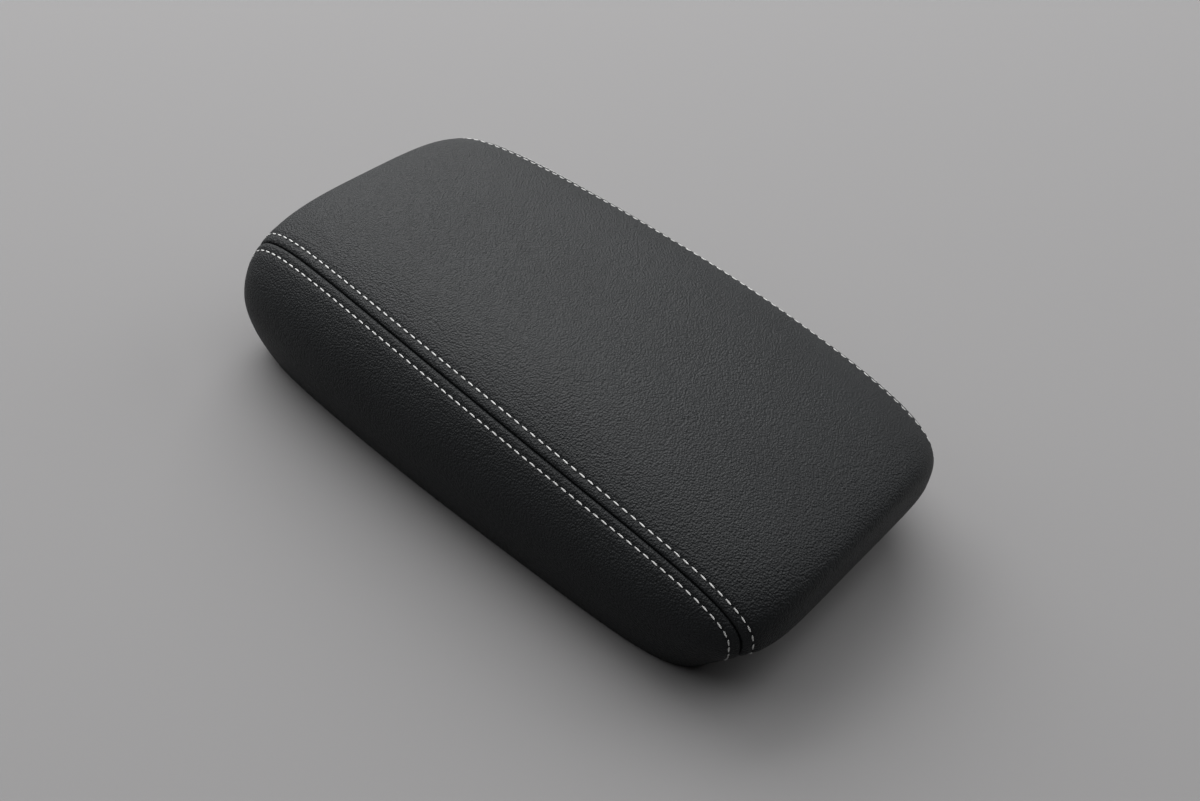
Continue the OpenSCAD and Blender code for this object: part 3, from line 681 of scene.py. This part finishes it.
def stitch(side):
    """One stitch at the origin: a short thread that dips into the leather at both ends."""
    bpy.ops.mesh.primitive_uv_sphere_add(
        segments=THREAD_SEGMENTS, ring_count=THREAD_SEGMENTS, radius=1.0)
    thread = bpy.context.object
    bpy.ops.object.mode_set(mode="EDIT")
    bpy.ops.mesh.select_all(action="SELECT")
    bpy.ops.transform.rotate(value=math.pi / 2, orient_axis="X", center_override=(0, 0, 0))
    bpy.ops.transform.resize(value=(
        THREAD_WIDTH / 2 * MM, STITCH_LENGTH / 2 * MM, THREAD_HEIGHT / 2 * MM))
    bpy.ops.object.mode_set(mode="OBJECT")
    for vertex in thread.data.vertices:
        reach = vertex.co.y / (STITCH_LENGTH / 2 * MM)
        vertex.co.z -= THREAD_HEIGHT * THREAD_BEND * reach ** 2 * MM
        vertex.co.x += STITCH_SLANT * MM * side * reach
    return thread


def along_row(line, run):
    """The point or the direction that a row has at a length along the seam."""
    return np.array([np.interp(run, SEAM_RUN, line[:, axis]) for axis in range(3)])


def stitch_row(name, strip, side, seam_side):
    """One row of stitches beside a seam, each lying between two needle holes."""
    column = int(np.argmin(np.abs(SEAM_COLUMNS - STITCH_ROW)))
    line = strip[:, column] * [side, 1, 1]
    ahead = strip[:, column + 1] * [side, 1, 1] - line
    thread = stitch(side)
    copies = []
    for k in range(int(SEAM_RUN[-1] / STITCH_PITCH)):
        run = (k + 0.5) * STITCH_PITCH
        if run < STITCH_START or run > SEAM_RUN[-1] - STITCH_START:
            continue
        along = along_row(line, run + 1) - along_row(line, run - 1)
        along /= np.linalg.norm(along)
        normal = np.cross(along, along_row(ahead, run)) * side * seam_side
        normal /= np.linalg.norm(normal)
        lift = seam_profile(STITCH_ROW, run) + THREAD_LIFT
        place = Matrix.Translation((along_row(line, run) + normal * lift) * MM)
        turn = Matrix((np.cross(along, normal), along, normal)).transposed().to_4x4()
        copy = thread.copy()
        copy.data = thread.data.copy()
        copy.data.transform(place @ turn)
        bpy.context.scene.collection.objects.link(copy)
        copies.append(copy)
    bpy.data.objects.remove(thread)
    bpy.ops.object.select_all(action="DESELECT")
    for copy in copies:
        copy.select_set(True)
    bpy.context.view_layer.objects.active = copies[0]
    bpy.ops.object.join()
    row = bpy.context.object
    row.name = name
    bpy.ops.object.shade_smooth()
    return row


top_strips = np.array([top_strip(s) for s in STATIONS])
side_strip = side_strips()
side_patch, hem_ring = side_body(side_strip)
cover_top = top_panel(top_strips)
cover_right = side_panel("cover_right_leather", side_strip, side_patch, hem_ring, 1)
cover_left = side_panel("cover_left_leather", side_strip, side_patch, hem_ring, -1)
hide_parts("cover_top_panel")
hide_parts("cover_side_right")
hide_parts("cover_side_left")
covers = [cover_top, cover_right, cover_left]
threads = []
for side, word in ((1, "right"), (-1, "left")):
    threads.append(stitch_row("stitching_top_" + word, top_strips, side, -1))
    threads.append(stitch_row("stitching_side_" + word, side_strip, side, 1))


# Materials

def material(name):
    """A new material, its nodes, its links and its shader."""
    new = bpy.data.materials.new(name)
    new.use_nodes = True
    nodes = new.node_tree.nodes
    return new, nodes, new.node_tree.links, nodes["Principled BSDF"]


def object_place(nodes):
    """The coordinates of a point on its own object."""
    return nodes.new("ShaderNodeTexCoord").outputs["Object"]


def noise(nodes, links, place, scale, detail=3.0, roughness=0.5):
    """A cloudy pattern."""
    texture = nodes.new("ShaderNodeTexNoise")
    texture.inputs["Scale"].default_value = scale
    texture.inputs["Detail"].default_value = detail
    texture.inputs["Roughness"].default_value = roughness
    links.new(place, texture.inputs["Vector"])
    return texture


def ramp(nodes, links, value, low, high, colours):
    """A value between low and high turned into a colour between two."""
    made = nodes.new("ShaderNodeValToRGB")
    made.color_ramp.elements[0].position = low
    made.color_ramp.elements[1].position = high
    for element, colour in zip(made.color_ramp.elements, colours):
        element.color = (*colour, 1)
    links.new(value, made.inputs["Fac"])
    return made.outputs["Color"]


def bump(nodes, links, height, depth, strength, before=None):
    """Relief from a pattern, on top of another relief where there is one."""
    made = nodes.new("ShaderNodeBump")
    made.inputs["Strength"].default_value = strength
    made.inputs["Distance"].default_value = depth
    links.new(height, made.inputs["Height"])
    if before is not None:
        links.new(before, made.inputs["Normal"])
    return made.outputs["Normal"]


def roughness_map(nodes, links, shader, value, low, high):
    """A pattern turned into a roughness between low and high."""
    made = nodes.new("ShaderNodeMapRange")
    made.inputs["To Min"].default_value = low
    made.inputs["To Max"].default_value = high
    links.new(value, made.inputs["Value"])
    links.new(made.outputs["Result"], shader.inputs["Roughness"])


def surface(links, shader, colour, relief):
    """Gives a shader its colour and its relief."""
    links.new(colour, shader.inputs["Base Color"])
    links.new(relief, shader.inputs["Normal"])


def darker(colour, shade):
    """A colour times a shade."""
    return tuple(c * shade for c in colour)


def black_leather():
    """Pebbled leather with painted shade darkening the grain's creases, fine pores and a faint cloud in
    its colour.
    """
    made, nodes, links, shader = material("black_leather")
    place = object_place(nodes)
    warp = noise(nodes, links, place, GRAIN_WARP_SCALE, detail=2.0)
    warped = nodes.new("ShaderNodeVectorMath")
    warped.operation = "MULTIPLY_ADD"
    warped.inputs[1].default_value = (GRAIN_WARP, GRAIN_WARP, GRAIN_WARP)
    links.new(warp.outputs["Color"], warped.inputs[0])
    links.new(place, warped.inputs[2])
    pebbles = nodes.new("ShaderNodeTexVoronoi")
    pebbles.feature = "SMOOTH_F1"
    pebbles.inputs["Scale"].default_value = GRAIN_SCALE
    pebbles.inputs["Smoothness"].default_value = GRAIN_SOFTNESS
    links.new(warped.outputs[0], pebbles.inputs["Vector"])
    grain = pebbles.outputs["Distance"]
    pores = noise(nodes, links, place, PORE_SCALE, detail=2.0)
    cloud = noise(nodes, links, place, LEATHER_CLOUD_SCALE)
    tint = ramp(nodes, links, cloud.outputs["Fac"], low=0.3, high=0.7,
                colours=(LEATHER_DARK, LEATHER_LIGHT))
    # Painted shade: the colour grows darker where the grain sinks into its creases
    depth = ramp(nodes, links, grain, low=0.25, high=0.75, colours=((1, 1, 1), CREASE_SHADE_COLOUR))
    creases = nodes.new("ShaderNodeMix")
    creases.data_type = "RGBA"
    creases.blend_type = "MULTIPLY"
    creases.inputs["Factor"].default_value = CREASE_SHADE_STRENGTH
    links.new(tint, creases.inputs["A"])
    links.new(depth, creases.inputs["B"])
    raised = bump(nodes, links, grain, GRAIN_DEPTH, strength=1.0)
    raised = bump(nodes, links, pores.outputs["Fac"], PORE_DEPTH, strength=0.6, before=raised)
    surface(links, shader, creases.outputs["Result"], raised)
    roughness_map(nodes, links, shader, grain, *LEATHER_ROUGHNESS)
    shader.inputs["Specular IOR Level"].default_value = LEATHER_SPECULAR
    return made


def spun_thread():
    """Grey thread with fine strands that run round it at a slant."""
    made, nodes, links, shader = material("grey_thread")
    turn = nodes.new("ShaderNodeMapping")
    turn.inputs["Rotation"].default_value = (0.0, 0.0, math.radians(STRAND_TURN))
    links.new(object_place(nodes), turn.inputs["Vector"])
    strands = nodes.new("ShaderNodeTexWave")
    strands.bands_direction = "Y"
    strands.inputs["Scale"].default_value = STRAND_SCALE
    strands.inputs["Distortion"].default_value = STRAND_BEND
    links.new(turn.outputs["Vector"], strands.inputs["Vector"])
    tint = ramp(nodes, links, strands.outputs["Fac"], low=0.0, high=0.6,
                colours=(THREAD_DARK, THREAD_LIGHT))
    raised = bump(nodes, links, strands.outputs["Fac"], STRAND_DEPTH, strength=0.6)
    surface(links, shader, tint, raised)
    shader.inputs["Roughness"].default_value = THREAD_ROUGHNESS
    return made


def moulded_plastic(name, colour, roughness, grain):
    """Plastic or rubber with an even, fine grain."""
    made, nodes, links, shader = material(name)
    fine = noise(nodes, links, object_place(nodes), grain, detail=4.0, roughness=0.6).outputs["Fac"]
    tint = ramp(nodes, links, fine, low=0.35, high=0.65,
                colours=(darker(colour, PLASTIC_SHADE), colour))
    surface(links, shader, tint, bump(nodes, links, fine, PLASTIC_DEPTH, strength=0.5))
    roughness_map(nodes, links, shader, fine, roughness - PLASTIC_SPREAD, roughness + PLASTIC_SPREAD)
    return made


def plated_steel(name, colour, roughness, stretch):
    """Steel with fine marks, stretched along a drawn piece, and a cloudy plating."""
    made, nodes, links, shader = material(name)
    place = object_place(nodes)
    drawn = nodes.new("ShaderNodeMapping")
    drawn.inputs["Scale"].default_value = stretch
    links.new(place, drawn.inputs["Vector"])
    marks = noise(nodes, links, drawn.outputs["Vector"], MARK_SCALE, detail=4.0).outputs["Fac"]
    cloud = noise(nodes, links, place, STEEL_CLOUD_SCALE).outputs["Fac"]
    tint = ramp(nodes, links, cloud, low=0.3, high=0.7,
                colours=(darker(colour, STEEL_SHADE), colour))
    surface(links, shader, tint, bump(nodes, links, marks, MARK_DEPTH, strength=0.3))
    roughness_map(nodes, links, shader, marks, roughness - STEEL_SMOOTHER, roughness + STEEL_ROUGHER)
    shader.inputs["Metallic"].default_value = 1.0
    return made


def moulded_foam():
    """Foam with small open cells."""
    made, nodes, links, shader = material("moulded_foam")
    cells = nodes.new("ShaderNodeTexVoronoi")
    cells.inputs["Scale"].default_value = CELL_SCALE
    links.new(object_place(nodes), cells.inputs["Vector"])
    tint = ramp(nodes, links, cells.outputs["Distance"], low=0.1, high=0.7, colours=FOAM_COLOURS)
    raised = bump(nodes, links, cells.outputs["Distance"], CELL_DEPTH, strength=0.6)
    surface(links, shader, tint, raised)
    shader.inputs["Roughness"].default_value = FOAM_ROUGHNESS
    return made


def paint(piece, made):
    """Gives a piece one material."""
    piece.data.materials.clear()
    piece.data.materials.append(made)


leather = black_leather()
thread_grey = spun_thread()
for piece in covers:
    paint(piece, leather)
    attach(piece, "lid")
for piece in threads:
    paint(piece, thread_grey)
    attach(piece, "lid")

finishes = {"moulded_foam": moulded_foam()}
for name, values in PLASTICS.items():
    finishes[name] = moulded_plastic(name, *values)
for name, values in STEELS.items():
    finishes[name] = plated_steel(name, *values)
for node, name in FINISHES.items():
    paint(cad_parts[node], finishes[name])


# The floor, the light and the camera

def pale_floor():
    """A pale floor that is clear when it is seen from below."""
    bpy.ops.mesh.primitive_plane_add(size=FLOOR_SIZE, location=(0, 0, 0))
    floor = bpy.context.object
    floor.name = "floor"
    made, nodes, links, shader = material("pale_floor")
    shader.inputs["Base Color"].default_value = FLOOR_COLOUR
    shader.inputs["Roughness"].default_value = FLOOR_ROUGHNESS
    shader.inputs["Specular IOR Level"].default_value = FLOOR_SPECULAR
    back = nodes.new("ShaderNodeNewGeometry")
    clear = nodes.new("ShaderNodeBsdfTransparent")
    either = nodes.new("ShaderNodeMixShader")
    links.new(back.outputs["Backfacing"], either.inputs["Fac"])
    links.new(shader.outputs["BSDF"], either.inputs[1])
    links.new(clear.outputs["BSDF"], either.inputs[2])
    links.new(either.outputs["Shader"], nodes["Material Output"].inputs["Surface"])
    paint(floor, made)


def soft_lamp(name, place, size, power):
    """A wide lamp that faces the armrest."""
    bpy.ops.object.light_add(type="AREA", location=place)
    lamp = bpy.context.object
    lamp.name = name
    lamp.data.shape = "RECTANGLE"
    lamp.data.size, lamp.data.size_y = size
    lamp.data.energy = power
    lamp.rotation_euler = (-Vector(place)).to_track_quat("-Z", "Y").to_euler()


def sky():
    """An even, faint light from all round."""
    world = bpy.data.worlds.new("studio")
    bpy.context.scene.world = world
    world.use_nodes = True
    glow = world.node_tree.nodes["Background"]
    glow.inputs["Color"].default_value = SKY_COLOUR
    glow.inputs["Strength"].default_value = SKY_STRENGTH


def photo_camera():
    """The camera, where the photograph was taken from."""
    bpy.ops.object.camera_add(location=CAMERA_PLACE)
    camera = bpy.context.object
    camera.rotation_euler = [math.radians(a) for a in CAMERA_TURN]
    camera.data.lens = CAMERA_LENS
    camera.data.clip_start = CAMERA_NEAR
    bpy.context.scene.camera = camera


pale_floor()
sky()
for lamp in LAMPS:
    soft_lamp(*lamp)
photo_camera()
bpy.context.scene.view_settings.view_transform = "Standard"
